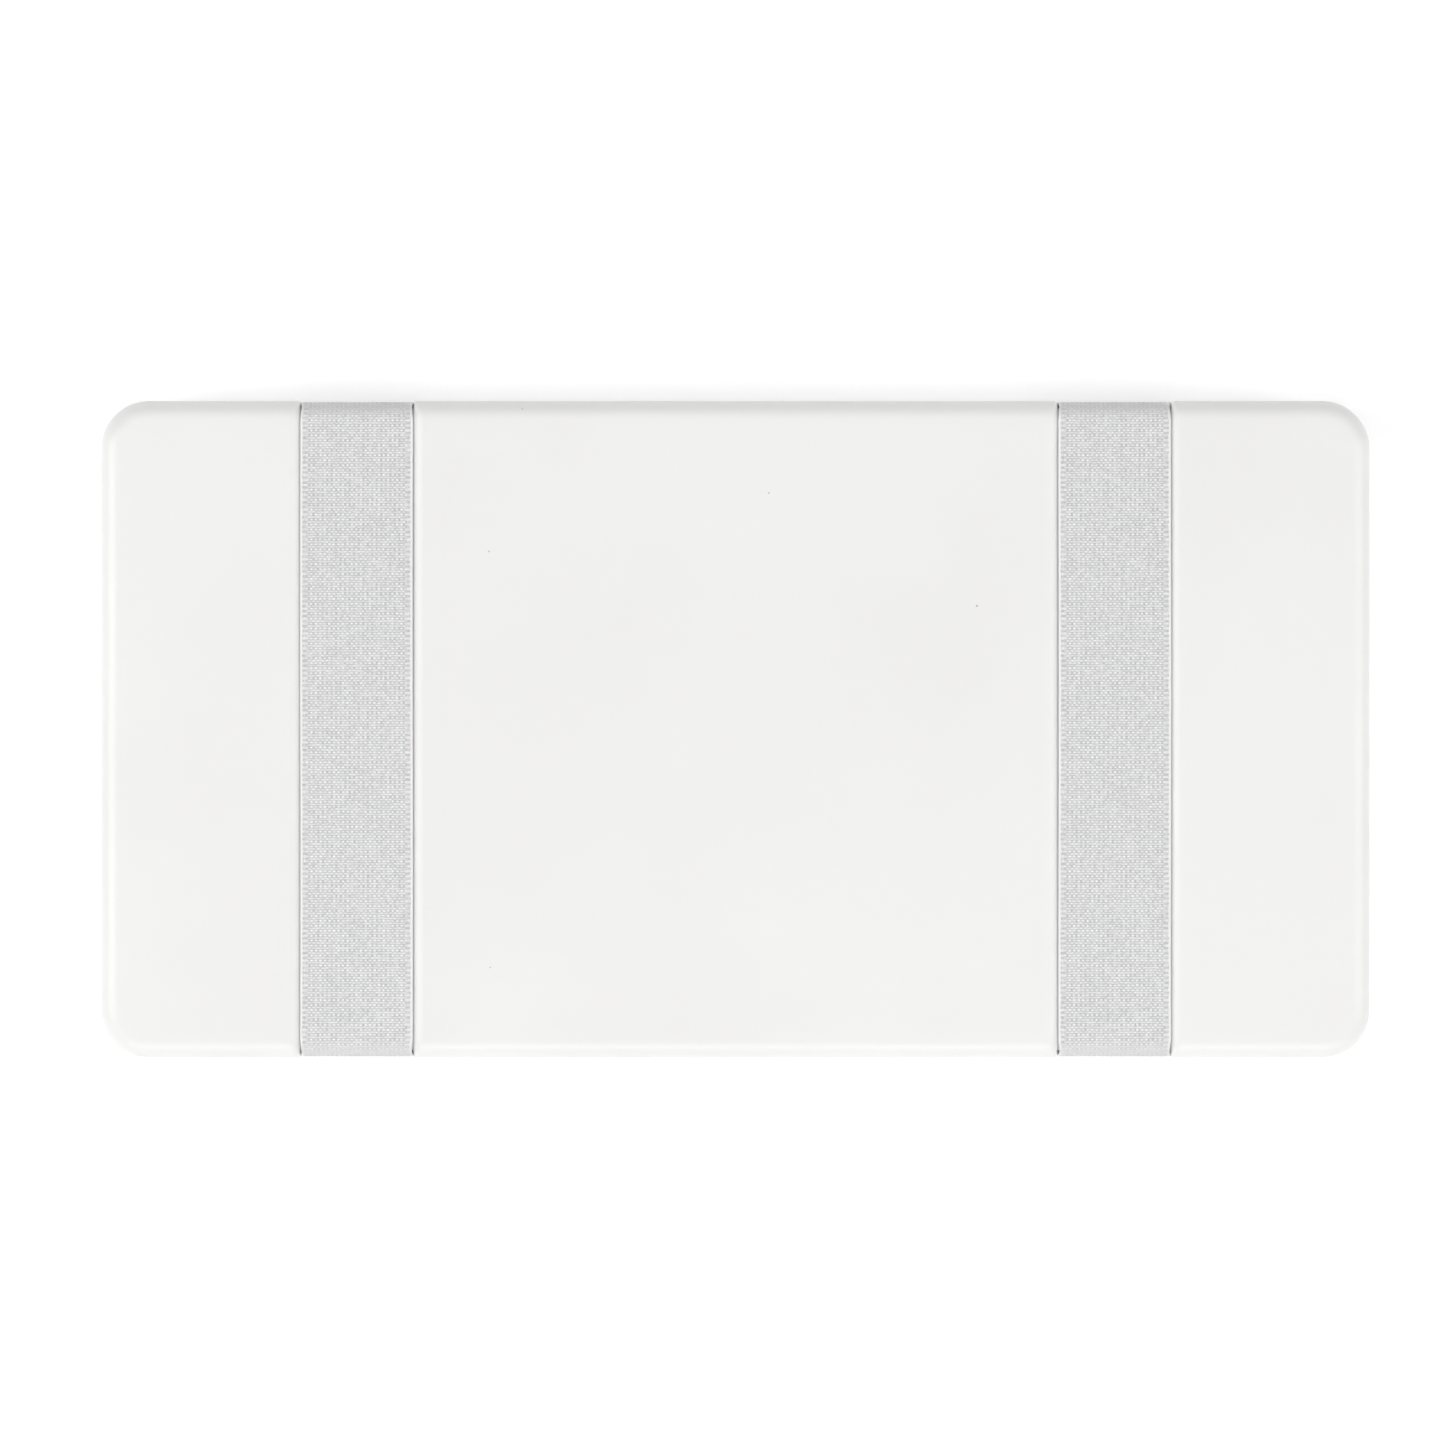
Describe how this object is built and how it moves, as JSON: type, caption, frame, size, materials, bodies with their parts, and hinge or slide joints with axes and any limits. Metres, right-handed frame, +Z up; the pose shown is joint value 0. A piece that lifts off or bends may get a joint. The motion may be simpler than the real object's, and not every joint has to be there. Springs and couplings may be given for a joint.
{
  "type": "wet palette",
  "caption": "Flat white plastic wet palette with a lift-off lid, foam tray, brush storage underneath and two wide elastic bands round the case.",
  "frame": {"origin": "centre of the footprint, on the surface that the four feet stand on", "axes": "+X along the case's length, +Y across it, +Z up out of the lid"},
  "size_m": [0.282, 0.146, 0.03],
  "materials": {
    "case_plastic": "white, gloss to satin, moulded",
    "seal_silicone": "soft grey silicone",
    "tray_plastic": "white, satin, moulded",
    "foam": "fine open-cell foam",
    "membrane_paper": "matte membrane paper",
    "dark_rubber": "matte grey rubber",
    "elastic_webbing": "light grey knitted elastic",
    "sewing_thread": "pale polyester thread"
  },
  "bodies": {
    "base": {"base_shell": "case_plastic", "spare_sheet_pack": "membrane_paper", "brush_comb_left": "dark_rubber", "brush_comb_right": "dark_rubber", "foot_front_left": "dark_rubber", "foot_front_right": "dark_rubber", "foot_back_left": "dark_rubber", "foot_back_right": "dark_rubber"},
    "lid": {"lid_shell": "case_plastic", "lid_seal": "seal_silicone"},
    "tray": {"palette_tray": "tray_plastic"},
    "foam": {"hydration_foam": "foam"},
    "sheet": {"hydration_sheet": "membrane_paper"},
    "band_left": {"elastic_band_left": "elastic_webbing", "band_stitching_left": "sewing_thread"},
    "band_right": {"elastic_band_right": "elastic_webbing", "band_stitching_right": "sewing_thread"}
  },
  "joints": [
    {"name": "lid_lift", "type": "slide", "parent": "base", "child": "lid", "axis": [0, 0, 1], "range_m": [0, 0.1]},
    {"name": "tray_lift", "type": "slide", "parent": "base", "child": "tray", "axis": [0, 0, 1], "range_m": [0, 0.05]},
    {"name": "foam_lift", "type": "slide", "parent": "tray", "child": "foam", "axis": [0, 0, 1], "range_m": [0, 0.016]},
    {"name": "sheet_lift", "type": "slide", "parent": "foam", "child": "sheet", "axis": [0, 0, 1], "range_m": [0, 0.01]},
    {"name": "band_left_slide", "type": "slide", "parent": "base", "child": "band_left", "axis": [-1, 0, 0], "range_m": [0, 0.08], "deforming": ["elastic_band_left", "band_stitching_left"]},
    {"name": "band_right_slide", "type": "slide", "parent": "base", "child": "band_right", "axis": [1, 0, 0], "range_m": [0, 0.08], "deforming": ["elastic_band_right", "band_stitching_right"]}
  ],
  "couplings": [
    {"joint": "tray_lift", "follows": "lid_lift", "ratio": 0.5},
    {"joint": "foam_lift", "follows": "lid_lift", "ratio": 0.16},
    {"joint": "sheet_lift", "follows": "lid_lift", "ratio": 0.1},
    {"joint": "band_left_slide", "follows": "lid_lift", "ratio": 0.8},
    {"joint": "band_right_slide", "follows": "lid_lift", "ratio": 0.8}
  ]
}
